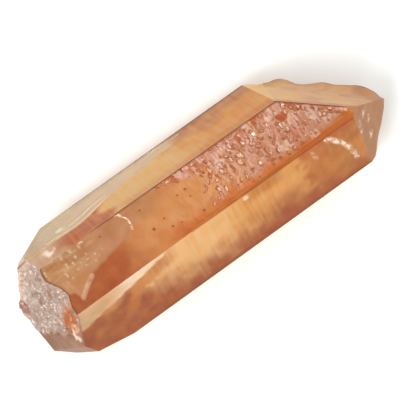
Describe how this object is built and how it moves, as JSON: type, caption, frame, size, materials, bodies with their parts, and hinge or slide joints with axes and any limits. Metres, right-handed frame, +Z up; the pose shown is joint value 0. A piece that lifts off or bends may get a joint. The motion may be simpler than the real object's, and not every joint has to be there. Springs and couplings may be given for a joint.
{
  "type": "tangerine quartz crystal point",
  "caption": "Natural quartz crystal point with an orange iron stain, lying on a prism face: striated prism, pitted top face, sloping tip faces and a rough broken base.",
  "frame": {"origin": "under the middle of the box, on the prism face that the crystal rests on", "axes": "+X along the crystal's long axis toward its tip, +Z up from the resting face, +Y completes a right-handed frame"},
  "size_m": [0.0536, 0.019, 0.0174],
  "materials": {
    "stained_quartz": "see-through quartz with an orange iron stain, glossy on the crystal faces and granular on the broken base"
  },
  "bodies": {
    "root": {"quartz_point": "stained_quartz"}
  },
  "joints": []
}
